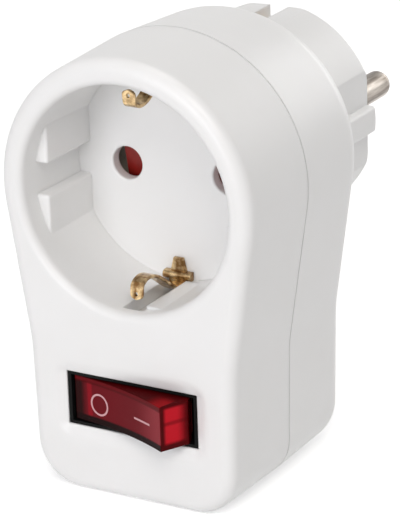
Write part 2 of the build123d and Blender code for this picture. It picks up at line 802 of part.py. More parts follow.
with BuildPart() as rocker:
    extrude(rocker_profile(0, rocker_back_y), amount=rocker_height / 2, both=True)
    hollow_half = rocker_height / 2 - rocker_side_wall
    hollow = rocker_profile(rocker_wall, rocker_back_y + 0.1)
    extrude(hollow, amount=hollow_half, both=True, mode=Mode.SUBTRACT)
    for side in (1, -1):
        with BuildSketch(rocker_plane.offset(side * (rocker_height / 2 - 0.5))):
            Circle(pivot_radius)
        extrude(amount=side * (box_height - rocker_height) / 2)
    with BuildSketch(along_rocker(tube_reach)):
        Circle(tube_radius)
    extrude(amount=tube_length)
    with BuildSketch(along_rocker(tube_reach)):
        Circle(plunger_radius + plunger_play)
    extrude(amount=plunger_bore, mode=Mode.SUBTRACT)
save(rocker, "rocker")

with BuildPart() as rocker_plunger:
    with BuildSketch(along_rocker(plunger_reach)):
        Circle(plunger_radius)
    extrude(amount=plunger_length)
    plunger_end = rocker_plunger.faces().sort_by(Axis(rocker_plane.origin, rocker_axis))[-1]
    chamfer(plunger_end.edges(), plunger_radius / 2)
save(rocker_plunger, "rocker_plunger")

with BuildPart() as rocker_spring:
    coil("rocker_spring", along_rocker(rocker_spring_start).origin, rocker_axis, rocker_spring_length,
         rocker_spring_radius, rocker_spring_wire, rocker_spring_coils)
save(rocker_spring, "rocker_spring")


# Neon lamp and its resistor lie in the hollow of the rocker, with their leads bent to the back.
def lamp_part(name, start, end, radius):
    with BuildPart() as item:
        first = rocker_plane.from_local_coords((start, lamp_y, 0))
        with BuildSketch(Plane(origin=first, z_dir=rocker_plane.x_dir)):
            Circle(radius)
        extrude(amount=end - start)
        chamfer(item.edges().filter_by(GeomType.CIRCLE), radius / 3)
        for x, lead_x in ((start, start - lead_gap), (end, end + lead_gap)):
            points = [(x, lamp_y, 0), (lead_x, lamp_y, 0), (lead_x, lead_end_y, 0)]
            route = [rocker_plane.from_local_coords(point) for point in points]
            with BuildLine() as path:
                FilletPolyline(*route, radius=lead_bend)
            with BuildSketch(Plane(origin=path.line @ 0, z_dir=path.line % 0)) as section:
                RegularPolygon(lead_radius, 4)
            sweep(section.sketch, path=path.line)
    save(item, name)


lamp_part("neon_lamp", lamp_inner_x, lamp_outer_x, lamp_radius)
lamp_part("lamp_resistor", -lamp_outer_x, -lamp_inner_x, resistor_radius)

# Contact lever: a flat strip on the rounded front edge of the common blade, tilted by the plunger.
tilt = radians(lever_tilt)
lever_plane = Plane(origin=(0, lever_y, switch_z), x_dir=(cos(tilt), sin(tilt), 0), z_dir=(0, 0, 1))
with BuildPart() as contact_lever:
    with BuildSketch(lever_plane):
        with Locations((0, -lever_thickness / 2 - lever_gap)):
            Rectangle(lever_length, lever_thickness)
        Circle(blade / 2 + bearing_play, mode=Mode.SUBTRACT)
    extrude(amount=lever_width / 2, both=True)
save(contact_lever, "contact_lever")

with BuildPart() as lever_tip:
    lever_back = lever_plane.from_local_coords((-tip_x, -lever_gap, 0))
    with BuildSketch(Plane(origin=lever_back, z_dir=lever_plane.y_dir)):
        Circle(tip_radius)
    extrude(amount=tip_height)
save(lever_tip, "lever_tip")

# Blades: each passes through the back of the box and ends outside it.
contact_pad_y = lever_y + tip_x * sin(tilt) + tip_height - lever_gap + tip_gap
with BuildPart() as switch_terminal_common:
    with BuildSketch(Plane.XY.offset(switch_z)):
        with Locations((0, lever_y)):
            Circle(blade / 2)
            Rectangle(blade, blade_end_y - lever_y, align=(Align.CENTER, Align.MIN))
    extrude(amount=blade_width / 2, both=True)
save(switch_terminal_common, "switch_terminal_common")
with BuildPart() as switch_terminal_load:
    with BuildSketch(Plane.XY.offset(switch_z)):
        with Locations((-terminal_x, contact_pad_y + tip_height)):
            Rectangle(blade, blade_end_y - contact_pad_y - tip_height, align=(Align.CENTER, Align.MIN))
        with Locations((-terminal_x - blade / 2, contact_pad_y + tip_height)):
            Rectangle(terminal_x - tip_x + tip_radius + blade / 2, strip, align=(Align.MIN, Align.MIN))
    extrude(amount=blade_width / 2, both=True)
save(switch_terminal_load, "switch_terminal_load")
with BuildPart() as load_tip:
    discs(contact_pad_y + tip_height, [(-tip_x, switch_z)], tip_radius, tip_height)
save(load_tip, "load_tip")
with BuildPart() as switch_terminal_lamp:
    block(blade_end_y, (terminal_x, switch_z), blade, blade_width, lamp_blade_length)
save(switch_terminal_lamp, "switch_terminal_lamp")

# Leads, from blade to strip.
blade_run = -26.0
wire("live_in_wire", [(-9.5, -8.6, -5.6), (-9.5, -11.4, -5.6), (-8.8, -15.4, -8.8), (-7.4, -19.0, -13.8),
                      (-5.2, -22.0, -20.0), (-2.4, -24.0, -27.0), (-0.4, -23.6, -33.4),
                      (0, blade_run, switch_z), (0, blade_end_y, switch_z)], wire_radius)
wire("live_out_wire", [(-8, blade_end_y, switch_z), (-8, blade_run, switch_z), (-8.8, -23.6, -33.0),
                       (-11.4, -23.4, -26.0), (-14.2, -22.6, -17.6), (-15.6, -21.2, -9.2),
                       (-15.6, -20.6, socket_z), (-15.6, sleeve_base_y, socket_z)], wire_radius)
wire("lamp_wire", [(8, blade_end_y, switch_z), (8, blade_run, switch_z), (8.6, -23.4, -33.0),
                   (10.6, -22.8, -26.0), (11.2, -21.0, -18.6), (10.4, -17.6, -12.6), (9.5, -13.4, -10.0),
                   (9.5, -13.4, -6.5)], lamp_wire_radius)
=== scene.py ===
import json
import math

import bmesh
import bpy
from mathutils import Matrix, Vector


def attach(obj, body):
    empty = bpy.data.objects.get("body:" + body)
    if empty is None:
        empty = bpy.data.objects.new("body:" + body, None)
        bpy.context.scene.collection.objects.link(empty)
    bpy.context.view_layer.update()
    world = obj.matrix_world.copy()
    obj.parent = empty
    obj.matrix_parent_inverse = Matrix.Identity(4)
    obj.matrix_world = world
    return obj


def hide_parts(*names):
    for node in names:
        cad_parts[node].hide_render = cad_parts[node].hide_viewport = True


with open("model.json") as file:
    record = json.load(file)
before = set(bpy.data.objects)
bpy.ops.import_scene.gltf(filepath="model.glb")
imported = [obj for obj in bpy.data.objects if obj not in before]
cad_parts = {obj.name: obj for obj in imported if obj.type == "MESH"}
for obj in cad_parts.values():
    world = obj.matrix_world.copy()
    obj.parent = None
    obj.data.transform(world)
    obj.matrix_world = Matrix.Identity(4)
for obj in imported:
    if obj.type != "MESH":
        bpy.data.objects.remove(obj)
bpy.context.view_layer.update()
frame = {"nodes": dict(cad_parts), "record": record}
mm = 0.001


def linear(hexColour):
    # sRGB hex to the linear values that the sockets hold
    parts = [int(hexColour[i:i + 2], 16) / 255 for i in (1, 3, 5)]
    return [p / 12.92 if p <= 0.04045 else ((p + 0.055) / 1.055) ** 2.4 for p in parts] + [1.0]


def addNode(tree, kind, sockets=None, **settings):
    # a node with its settings; a socket takes a value or another node's output
    node = tree.nodes.new(kind)
    for name, value in settings.items():
        setattr(node, name, value)
    for key, value in (sockets or {}).items():
        if isinstance(value, bpy.types.NodeSocket):
            tree.links.new(value, node.inputs[key])
        else:
            node.inputs[key].default_value = value
    return node


def addObject(name, data):
    thing = bpy.data.objects.new(name, data)
    bpy.context.scene.collection.objects.link(thing)
    return thing


# camera at the photograph's angle: place in metres, angles in degrees, lens in millimetres
view = {
    "place": (0.24038, -0.43137, 0.15491), "azimuth": 30.866, "elevation": 20.282, "roll": -1.908,
    "lens": 210.1, "sensor": 36, "nearest": 0.01,
}


def makeCamera():
    azimuth, elevation, roll = (math.radians(view[key]) for key in ("azimuth", "elevation", "roll"))
    level = math.cos(elevation)
    back = Vector((math.sin(azimuth) * level, -math.cos(azimuth) * level, math.sin(elevation)))
    right = (-back).cross(Vector((0, 0, 1))).normalized()
    up = right.cross(-back)
    turnedRight = right * math.cos(roll) + up * math.sin(roll)
    turnedUp = up * math.cos(roll) - right * math.sin(roll)
    data = bpy.data.cameras.new("photoCamera")
    data.lens = view["lens"]
    data.sensor_width = view["sensor"]
    data.clip_start = view["nearest"]
    camera = addObject("photoCamera", data)
    turned = Matrix((turnedRight, turnedUp, back)).transposed().to_4x4()
    camera.matrix_world = Matrix.Translation(view["place"]) @ turned
    bpy.context.scene.camera = camera


makeCamera()
print("camera placed")

# four soft round lights, places and sizes in metres: a large key high at the camera's side, a fill in
# front, one overhead and a weak one behind, with pale light from all round; the floor lies just under the
# object's base
studio = {
    "lights": {
        "keyLight": {"place": (0.55, -0.85, 0.95), "size": 0.7, "watts": 6.0, "colour": "#FFFBF6"},
        "fillLight": {"place": (-0.12, -1.22, 0.22), "size": 0.7, "watts": 5.6, "colour": "#FBFBFF"},
        "topLight": {"place": (0.0, 0.1, 1.25), "size": 0.8, "watts": 4.1, "colour": "#FFFCF8"},
        "backLight": {"place": (0.25, 1.2, 0.3), "size": 0.7, "watts": 3.2, "colour": "#FFFFFF"},
    },
    "aim": (0, -0.02, -0.015), "ambientColour": "#FCFCFF", "ambient": 0.26,
    "floorHeight": -53.22 * mm, "floorReach": 4, "floorColour": "#F2F2F2", "floorGlow": 0.5,
}


def softLight(name, facts):
    data = bpy.data.lights.new(name, "AREA")
    data.shape = "DISK"
    data.size = facts["size"]
    data.energy = facts["watts"]
    data.color = linear(facts["colour"])[:3]
    lamp = addObject(name, data)
    lamp.location = facts["place"]
    aim = Vector(studio["aim"]) - Vector(facts["place"])
    lamp.rotation_euler = aim.to_track_quat("-Z", "Y").to_euler()


def seenRays(tree):
    # 1 for what is seen straight on, in a reflection or through glass
    rays = addNode(tree, "ShaderNodeLightPath").outputs
    seen = rays["Is Camera Ray"]
    for name in ("Is Glossy Ray", "Is Transmission Ray"):
        either = addNode(tree, "ShaderNodeMath", {0: seen, 1: rays[name]}, operation="ADD", use_clamp=True)
        seen = either.outputs[0]
    return seen


def makeWorld():
    # pale light on the object, plain white for the eye
    world = bpy.data.worlds.new("paleStudio")
    bpy.context.scene.world = world
    world.use_nodes = True
    tree = world.node_tree
    tree.nodes.clear()
    lit = addNode(tree, "ShaderNodeBackground", {
        "Color": linear(studio["ambientColour"]), "Strength": studio["ambient"],
    })
    seen = addNode(tree, "ShaderNodeBackground", {"Color": linear("#FFFFFF"), "Strength": 1.0})
    mixed = addNode(tree, "ShaderNodeMixShader", {0: seenRays(tree), 1: lit.outputs[0], 2: seen.outputs[0]})
    addNode(tree, "ShaderNodeOutputWorld", {"Surface": mixed.outputs[0]})


def makeFloor():
    # matt paint that keeps the object's shadow, with a glow that lifts it to the white behind
    mesh = bpy.data.meshes.new("floor")
    reach = studio["floorReach"]
    square = ((-reach, -reach), (reach, -reach), (reach, reach), (-reach, reach))
    mesh.from_pydata([(x, y, studio["floorHeight"]) for x, y in square], [], [(0, 1, 2, 3)])
    material = bpy.data.materials.new("paintedStudioFloor")
    material.use_nodes = True
    tree = material.node_tree
    tree.nodes.clear()
    paint = addNode(tree, "ShaderNodeBsdfDiffuse", {"Color": linear(studio["floorColour"])})
    glow = addNode(tree, "ShaderNodeMath", {0: seenRays(tree), 1: studio["floorGlow"]}, operation="MULTIPLY")
    light = addNode(tree, "ShaderNodeEmission", {"Color": linear("#FFFFFF"), "Strength": glow.outputs[0]})
    lifted = addNode(tree, "ShaderNodeAddShader", {0: paint.outputs[0], 1: light.outputs[0]})
    addNode(tree, "ShaderNodeOutputMaterial", {"Surface": lifted.outputs[0]})
    mesh.materials.append(material)
    addObject("floor", mesh)


for name, facts in studio["lights"].items():
    softLight(name, facts)
makeWorld()
makeFloor()
bpy.context.scene.view_settings.view_transform = "Standard"
print("studio made with", len(studio["lights"]), "lights")


def startMaterial(name, settings):
    # a principled shader with fixed values, and the piece's own coordinates in metres
    material = bpy.data.materials.new(name)
    material.use_nodes = True
    tree = material.node_tree
    tree.nodes.clear()
    shader = addNode(tree, "ShaderNodeBsdfPrincipled", settings)
    addNode(tree, "ShaderNodeOutputMaterial", {"Surface": shader.outputs["BSDF"]})
    place = addNode(tree, "ShaderNodeTexCoord").outputs["Object"]
    return material, tree, shader, place


def mottle(tree, shader, place, facts):
    # soft clouds of two near colours, which moulded and printed surfaces show close up
    cloud = addNode(tree, "ShaderNodeTexNoise", {
        "Vector": place, "Scale": 1 / (facts["cloudMm"] * mm), "Detail": facts["detail"],
    })
    tone = addNode(tree, "ShaderNodeMix", {
        0: cloud.outputs["Fac"], 6: linear(facts["colour"]), 7: linear(facts["shade"]),
    }, data_type="RGBA")
    tree.links.new(tone.outputs[2], shader.inputs["Base Color"])
    return cloud.outputs["Fac"]


absFinish = {
    "colour": "#EFEFEF", "shade": "#EBEBEA", "cloudMm": 9, "detail": 3, "roughness": 0.36, "ior": 1.53,
    "glowShare": 0.12, "glowTint": (1, 0.95, 0.9), "glowMm": 0.5,
    "grainMm": 0.16, "grainDetail": 2, "grainDepthMm": 0.0025, "grainStrength": 0.6,
    "edgeMm": 0.4, "edgeSamples": 6,
}


def mouldedAbs():
    # ABS from a spark-eroded mould: an even satin white with a very fine grain and edges that catch a
    # soft line of light
    material, tree, shader, place = startMaterial("absMouldedWhite", {
        "Roughness": absFinish["roughness"], "IOR": absFinish["ior"],
        "Subsurface Weight": absFinish["glowShare"], "Subsurface Radius": absFinish["glowTint"],
        "Subsurface Scale": absFinish["glowMm"] * mm,
    })
    mottle(tree, shader, place, absFinish)
    # the real grain is about 0.03 mm; it is drawn five times as coarse to show at all
    grain = addNode(tree, "ShaderNodeTexNoise", {
        "Vector": place, "Scale": 1 / (absFinish["grainMm"] * mm), "Detail": absFinish["grainDetail"],
    })
    edge = addNode(tree, "ShaderNodeBevel", {"Radius": absFinish["edgeMm"] * mm},
                   samples=absFinish["edgeSamples"])
    bump = addNode(tree, "ShaderNodeBump", {
        "Height": grain.outputs["Fac"], "Distance": absFinish["grainDepthMm"] * mm,
        "Strength": absFinish["grainStrength"], "Normal": edge.outputs[0],
    })
    tree.links.new(bump.outputs[0], shader.inputs["Normal"])
    return material


# the rocker's own frame, off side pressed in: X along its face, Y into the switch, Z up, in millimetres
# from the pivot, turned in degrees; its face is dished by dip over twice halfFace
rockerFrame = {"pivot": (0.0, -49.8, -36.9), "turn": -16.5, "halfFace": 10.25, "dip": 0.95, "front": 5.0}
# face is the lens's own red; the other colours are painted glow and painted shade
lensFinish = {
    "face": "#6A121B", "paintedLightNearRaisedEnd": "#8C2E36", "strip": "#8A1420", "upper": "#640A12",
    "paintedShadowPressedEnd": "#2A0A0B", "paintedShadeWall": "#1C0606", "top": "#460104", "paintedGlowTop": "#920D16",
    "end": "#C41B29", "paintedShadeRaisedEnd": "#4E0206",
    "roughness": 0.2, "topRoughness": 0.62, "ior": 1.585, "specular": 0.035,
    "swirlMm": 1.6, "swirlDetail": 2, "swirlDepthMm": 0.004, "swirlStrength": 0.5,
}
# a band is an axis, where it starts to show and where it shows fully; a layer is a colour, how strongly it
# covers the layers above it in the list, and the bands that it keeps within
topSide, underSide = ("Z", 3.72, 3.86), ("Z", -3.72, -3.86)
raisedEnd, pressedEnd = ("X", 10.18, 10.3), ("X", -10.18, -10.3)
# each layer paints light or shade into the lens's red
lensPaintedLightLayers = [
    ("paintedLightNearRaisedEnd", 1.0, [("X", 3.0, 10.2)]),  # painted light: the face is drawn greyer toward the raised end
    ("strip", 1.0, [("X", -7.9, -7.5), ("X", -6.5, -7.0)]),  # painted glow: a bright strip by the pressed end
    # painted shadow of the frame over the pressed end of the face
    ("paintedShadowPressedEnd", 1.0, [("X", -7.7, -9.2)]),
    ("paintedShadeWall", 1.0, [("Z", -2.5, -2.95)]),  # painted shade: the lower wall, dark as seen through its thickness
    # painted shade in a band under the top edge
    ("upper", 1.0, [("Z", 3.0, 3.3)]),
    ("top", 0.6, [("Z", 2.8, 3.05), ("Z", 3.4, 3.15)]),  # painted shade: a dark line at the inner edge of the upper wall
    # painted shade on the top side
    ("top", 1.0, [topSide]),
    ("paintedGlowTop", 1.0, [topSide, ("X", 6.0, 9.5), ("Y", -0.8, -3.0)]),  # painted glow on the top side over the raised end
    # painted shade on the underside
    ("paintedShadeWall", 1.0, [underSide]),
    # painted shade on the raised end
    ("paintedShadeRaisedEnd", 1.0, [raisedEnd]),
    # painted glow: bright cells behind the thin end wall
    ("end", 1.0, [raisedEnd, ("Y", -4.5, -3.7), ("Y", 0.3, -2.0), ("Z", -3.2, -2.4), ("Z", 3.6, 3.0)]),
    ("paintedShadeRaisedEnd", 0.5, [raisedEnd, ("Z", 0.1, 0.55), ("Z", 1.2, 0.75)]),  # painted shade of a rib between two bright cells
    # painted shadow on the pressed end
    ("paintedShadowPressedEnd", 1.0, [pressedEnd]),
]


def redPolycarbonate():
    # clear red polycarbonate, moulded and polished, made opaque here: its glow where the wall is thin and
    # backed by light is painted into the colour, and so is the near-black painted shade where a thick wall, a
    # rib or the frame lies behind it
    material, tree, shader, place = startMaterial("polycarbonateRedPaintedLight", {
        "IOR": lensFinish["ior"], "Specular IOR Level": lensFinish["specular"],
    })
    local = addNode(tree, "ShaderNodeMapping", {
        "Vector": place, "Location": [v * mm for v in rockerFrame["pivot"]],
        "Rotation": (0, 0, math.radians(rockerFrame["turn"])), "Scale": (mm, mm, mm),
    }, vector_type="TEXTURE").outputs[0]
    axes = addNode(tree, "ShaderNodeSeparateXYZ", {0: local}).outputs
    skin = linear(lensFinish["face"])
    for colour, cover, bands in lensPaintedLightLayers:
        for axis, start, full in bands:
            band = addNode(tree, "ShaderNodeMapRange", {0: axes[axis], 1: start, 2: full},
                           interpolation_type="SMOOTHSTEP")
            part = addNode(tree, "ShaderNodeMath", {0: band.outputs[0], 1: cover}, operation="MULTIPLY")
            cover = part.outputs[0]
        layer = addNode(tree, "ShaderNodeMix", {0: cover, 6: skin, 7: linear(lensFinish[colour])},
                        data_type="RGBA")
        skin = layer.outputs[2]
    tree.links.new(skin, shader.inputs["Base Color"])
    # the top rubs on the frame and is matter than the polished face
    axis, start, full = topSide
    gloss = addNode(tree, "ShaderNodeMapRange", {
        0: axes[axis], 1: start, 2: full, 3: lensFinish["roughness"], 4: lensFinish["topRoughness"],
    })
    tree.links.new(gloss.outputs[0], shader.inputs["Roughness"])
    swirl = addNode(tree, "ShaderNodeTexNoise", {
        "Vector": local, "Scale": 1 / lensFinish["swirlMm"], "Detail": lensFinish["swirlDetail"],
    })
    bump = addNode(tree, "ShaderNodeBump", {
        "Height": swirl.outputs["Fac"], "Distance": lensFinish["swirlDepthMm"] * mm,
        "Strength": lensFinish["swirlStrength"],
    })
    tree.links.new(bump.outputs[0], shader.inputs["Normal"])
    return material


inkFinish = {"colour": "#D9AEB2", "shade": "#C48A90", "cloudMm": 0.12, "detail": 2, "roughness": 0.55}


def printedInk():
    # pale ink, pad-printed on the red lens: matt and thin, so that the red tints it in specks, which are
    # drawn about twice as coarse as real ones
    material, tree, shader, place = startMaterial("padPrintedPaleInk", {"Roughness": inkFinish["roughness"]})
    mottle(tree, shader, place, inkFinish)
    return material


frameFinish = {
    "colour": "#0B0C0C", "shade": "#151616", "cloudMm": 0.25, "detail": 3, "ior": 1.53, "specular": 0.07,
    "gloss": (0.35, 0.55),
}


def blackPolyamide():
    # glass-filled black polyamide, moulded: a dull sheen that changes in clouds where the fibres lie near
    # the skin
    material, tree, shader, place = startMaterial("polyamideBlackMoulded", {
        "IOR": frameFinish["ior"], "Specular IOR Level": frameFinish["specular"],
    })
    skin = mottle(tree, shader, place, frameFinish)
    smooth, dull = frameFinish["gloss"]
    gloss = addNode(tree, "ShaderNodeMapRange", {0: skin, 3: smooth, 4: dull})
    tree.links.new(gloss.outputs[0], shader.inputs["Roughness"])
    return material


plastics = {
    # PBT of the shutter, moulded in signal red: semi-gloss and even, with faint flow marks
    "shutter_plastic": {
        "name": "polyesterRedMoulded", "colour": "#98211A", "shade": "#761610", "cloudMm": 1.2, "detail": 3,
        "ior": 1.55, "roughness": 0.33,
    },
    # unpainted PBT of the carrier, moulded: cream and slightly waxy
    "carrier_plastic": {
        "name": "polyesterCreamMoulded", "colour": "#DDD8C8", "shade": "#CFC9B8", "cloudMm": 1.5, "detail": 2,
        "ior": 1.53, "roughness": 0.45,
    },
    # soft PVC of the leads' jackets, extruded: smooth, with a low sheen
    "brown_pvc": {
        "name": "pvcBrownExtruded", "colour": "#5A3420", "shade": "#4A2A19", "cloudMm": 1.5, "detail": 2,
        "ior": 1.53, "roughness": 0.4,
    },
    "blue_pvc": {
        "name": "pvcBlueExtruded", "colour": "#2C55A0", "shade": "#234684", "cloudMm": 1.5, "detail": 2,
        "ior": 1.53, "roughness": 0.4,
    },
}


def plainPlastic(facts):
    material, tree, shader, place = startMaterial(facts["name"], {
        "Roughness": facts["roughness"], "IOR": facts["ior"],
    })
    mottle(tree, shader, place, facts)
    return material


# lines along the strip or wire, lineMm apart, and clouds of a darker tone cloudMm across and cloudLength
# times as long; real lines are 0.01 to 0.02 mm apart and are drawn about eight times as coarse, so that they
# show
metals = {
    # brass strip, rolled and bent: warm and half bright, with long brown clouds that are partly tarnish and
    # partly painted reflection
    "brass": {
        "name": "brassRolledStrip", "colour": "#EBCFA0", "shade": "#83603A", "roughness": 0.2,
        "lineMm": 0.12, "along": "Y", "cloudMm": 1.3, "cloudLength": 1.6,
    },
    # nickel plate on turned brass: a satin grey with long darker streaks along the pin, which are painted
    # reflections
    "nickel": {
        "name": "nickelPlatedBrass", "colour": "#CBC3BA", "shade": "#736A61", "roughness": 0.3,
        "lineMm": 0.1, "along": "Y", "cloudMm": 1.4, "cloudLength": 9.0,
    },
    # fine silver of the switch's contacts, cold-headed: pale and soft, already a little dull
    "silver": {
        "name": "silverRivet", "colour": "#D8D8D4", "shade": "#B5B4AE", "roughness": 0.3,
        "lineMm": 0.1, "along": "X", "cloudMm": 1.8, "cloudLength": 1.0,
    },
    # zinc plate on steel screws: a cool grey with matter patches
    "zinc_steel": {
        "name": "steelZincPlated", "colour": "#C3C5C8", "shade": "#9EA1A6", "roughness": 0.32,
        "lineMm": 0.1, "along": "X", "cloudMm": 1.8, "cloudLength": 1.0,
    },
    # drawn spring wire: mid grey with drawing lines
    "spring_steel": {
        "name": "springSteelDrawn", "colour": "#A8A9AC", "shade": "#85868A", "roughness": 0.3,
        "lineMm": 0.08, "along": "X", "cloudMm": 1.8, "cloudLength": 1.0,
    },
}
metalSkin = {
    "lineLength": 12, "lineDetail": 2, "cloudDetail": 3, "cloudEdges": (0.36, 0.64), "smoother": 0.07,
    "rougher": 0.09, "lineDepthMm": 0.003, "lineStrength": 0.5,
}


def stretchedNoise(tree, place, sizeMm, along, length, detail):
    # noise drawn out along one axis; its size comes from a Mapping node
    scale = [1 / (sizeMm * mm)] * 3
    scale["XYZ".index(along)] /= length
    drawn = addNode(tree, "ShaderNodeMapping", {"Vector": place, "Scale": scale})
    noise = addNode(tree, "ShaderNodeTexNoise", {"Vector": drawn.outputs[0], "Scale": 1.0, "Detail": detail})
    return noise.outputs["Fac"]


def rolledMetal(facts):
    # lines that turn the gloss and clouds that turn the colour, both along the metal
    material, tree, shader, place = startMaterial(facts["name"], {"Metallic": 1.0})
    lines = stretchedNoise(tree, place, facts["lineMm"], facts["along"], metalSkin["lineLength"],
                           metalSkin["lineDetail"])
    clouds = stretchedNoise(tree, place, facts["cloudMm"], facts["along"], facts["cloudLength"],
                            metalSkin["cloudDetail"])
    # the clouds' edges set their contrast; on the brass the dark clouds are partly painted reflection, on the
    # nickel the dark streaks are painted reflection
    paleUntil, darkFrom = metalSkin["cloudEdges"]
    share = addNode(tree, "ShaderNodeMapRange", {0: clouds, 1: paleUntil, 2: darkFrom})
    tone = addNode(tree, "ShaderNodeMix", {
        0: share.outputs[0], 6: linear(facts["colour"]), 7: linear(facts["shade"]),
    }, data_type="RGBA")
    tree.links.new(tone.outputs[2], shader.inputs["Base Color"])
    gloss = addNode(tree, "ShaderNodeMapRange", {
        0: lines, 3: facts["roughness"] - metalSkin["smoother"], 4: facts["roughness"] + metalSkin["rougher"],
    })
    tree.links.new(gloss.outputs[0], shader.inputs["Roughness"])
    bump = addNode(tree, "ShaderNodeBump", {
        "Height": lines, "Distance": metalSkin["lineDepthMm"] * mm, "Strength": metalSkin["lineStrength"],
    })
    tree.links.new(bump.outputs[0], shader.inputs["Normal"])
    return material


glassFinish = {"colour": "#F7EFEA", "roughness": 0.03, "ior": 1.5, "rippleMm": 0.9, "rippleDepthMm": 0.004}


def clearGlass():
    # soda glass of the neon lamp, drawn and blown: clear, with a slight ripple in what lies behind it
    material, tree, shader, place = startMaterial("glassClear", {
        "Base Color": linear(glassFinish["colour"]), "Roughness": glassFinish["roughness"],
        "IOR": glassFinish["ior"], "Transmission Weight": 1.0,
    })
    ripple = addNode(tree, "ShaderNodeTexNoise", {
        "Vector": place, "Scale": 1 / (glassFinish["rippleMm"] * mm),
    })
    bump = addNode(tree, "ShaderNodeBump", {
        "Height": ripple.outputs["Fac"], "Distance": glassFinish["rippleDepthMm"] * mm,
    })
    tree.links.new(bump.outputs[0], shader.inputs["Normal"])
    return material


finish = {
    "white_abs": mouldedAbs(), "red_clear_plastic": redPolycarbonate(), "black_plastic": blackPolyamide(),
    "lamp_glass": clearGlass(), "ink": printedInk(),
}
for slot, facts in plastics.items():
    finish[slot] = plainPlastic(facts)
for slot, facts in metals.items():
    finish[slot] = rolledMetal(facts)
slotOf = {part["node"]: part["material_slot"] for part in frame["record"]["subparts"]}
for node, thing in frame["nodes"].items():
    thing.data.materials.clear()
    thing.data.materials.append(finish[slotOf[node]])
print(len(finish), "finishes made,", len(slotOf), "nodes finished")


def addPiece(name, mesh, body, material):
    mesh.name = name
    mesh.materials.clear()
    mesh.materials.append(material)
    piece = addObject(name, mesh)
    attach(piece, body)
    return piece


def evaluated(thing):
    # the thing's mesh with its modifiers applied; the thing itself goes
    bpy.context.view_layer.update()
    mesh = bpy.data.meshes.new_from_object(thing.evaluated_get(bpy.context.evaluated_depsgraph_get()))
    bpy.data.objects.remove(thing)
    return mesh


def writeMesh(shape, mesh):
    shape.to_mesh(mesh)
    shape.free()
    return mesh


def skinRings(shape, rings, closed):
    # faces from ring to ring, and a cap at each end of an open line, all turned outwards
    following = rings[1:] + (rings[:1] if closed else [])
    for near, far in zip(rings, following):
        for k in range(len(near)):
            after = (k + 1) % len(near)
            shape.faces.new((near[k], near[after], far[after], far[k]))
    if not closed:
        shape.faces.new(rings[0])
        shape.faces.new(list(reversed(rings[-1])))
    bmesh.ops.recalc_face_normals(shape, faces=shape.faces)


# pieces that stand for a CAD node with its edges rounded over; an earth clip also gets its sprung tongue
# back as a smooth sweep, on the upper (1) or lower (-1) side of the socket
softened = {
    "rocker": {"piece": "rockerLens", "body": "rocker", "edgeMm": 0.28},
    "switch_body": {"piece": "switchFrame", "body": "housing", "edgeMm": 0.12},
    "earth_clip_top": {"piece": "earthClipTop", "body": "housing", "edgeMm": 0.12, "tongueSide": 1},
    "earth_clip_bottom": {"piece": "earthClipBottom", "body": "housing", "edgeMm": 0.12, "tongueSide": -1},
}
softening = {"mergeMm": 0.002, "flatDegrees": 0.8, "sharpDegrees": 38, "segments": 3}
# the tongue's line as (y, distance from the socket's axis), and its strip, in millimetres
tongue = {
    "line": [
        (-37.6, 19.6), (-38.3, 19.6), (-44.2, 15.15), (-47.2, 14.35),
        (-49.1, 15.1), (-49.3, 16.2), (-49.4, 17.65),
    ],
    "steps": 10, "axisHeight": -1.1, "cutY": -37.8, "halfWidth": 1.2, "halfThickness": 0.3,
    "corner": 0.14, "cornerShare": 0.4, "rootWidth": 0.97, "rootThickness": 0.95,
    "tipRound": 0.9, "tipPower": 2.4, "tipBlunt": 0.02,
    "holeUp": 0.95, "holeRadius": 0.36, "holeSides": 24, "drillLength": 3, "sharpDegrees": 40,
}


def tongueLine():
    # smooth line that touches the middle of each run and turns inside each corner
    points = [Vector(p) for p in tongue["line"]]
    line = []
    for i in range(1, len(points) - 1):
        isLast = i == len(points) - 2
        start = points[0] if i == 1 else (points[i - 1] + points[i]) / 2
        end = points[-1] if isLast else (points[i] + points[i + 1]) / 2
        for k in range(tongue["steps"] + (1 if isLast else 0)):
            t = k / tongue["steps"]
            line.append(start * (1 - t) ** 2 + points[i] * 2 * t * (1 - t) + end * t * t)
    return line


def tongueStrip(name, line, side):
    # strip with rounded corners along the line, narrowing to a round tip
    left = [0.0]
    for near, far in zip(reversed(line[:-1]), reversed(line[1:])):
        left.append(left[-1] + (far - near).length)
    left.reverse()
    shape = bmesh.new()
    rings = []
    for i, here in enumerate(line):
        along = (line[min(i + 1, len(line) - 1)] - line[max(i - 1, 0)]).normalized()
        aside = Vector((-along[1], along[0]))
        # the root is a little smaller, so that it sits inside the clip
        rootWidth, rootThickness = (tongue["rootWidth"], tongue["rootThickness"]) if i == 0 else (1, 1)
        share = min(left[i] / tongue["tipRound"], 1.0)
        rounding = max(1 - (1 - share) ** tongue["tipPower"], tongue["tipBlunt"]) ** (1 / tongue["tipPower"])
        width = tongue["halfWidth"] * rounding * rootWidth
        thick = tongue["halfThickness"] * rootThickness
        corner = min(tongue["corner"], width * tongue["cornerShare"])
        flat, edge = width - corner, thick - corner
        ring = []
        for x, n in ((flat, thick), (-flat, thick), (-width, edge), (-width, -edge),
                     (-flat, -thick), (flat, -thick), (width, -edge), (width, edge)):
            y, height = here + aside * n
            ring.append(shape.verts.new((x * mm, y * mm, (tongue["axisHeight"] + side * height) * mm)))
        rings.append(ring)
    skinRings(shape, rings, False)
    return addObject(name, writeMesh(shape, bpy.data.meshes.new(name)))


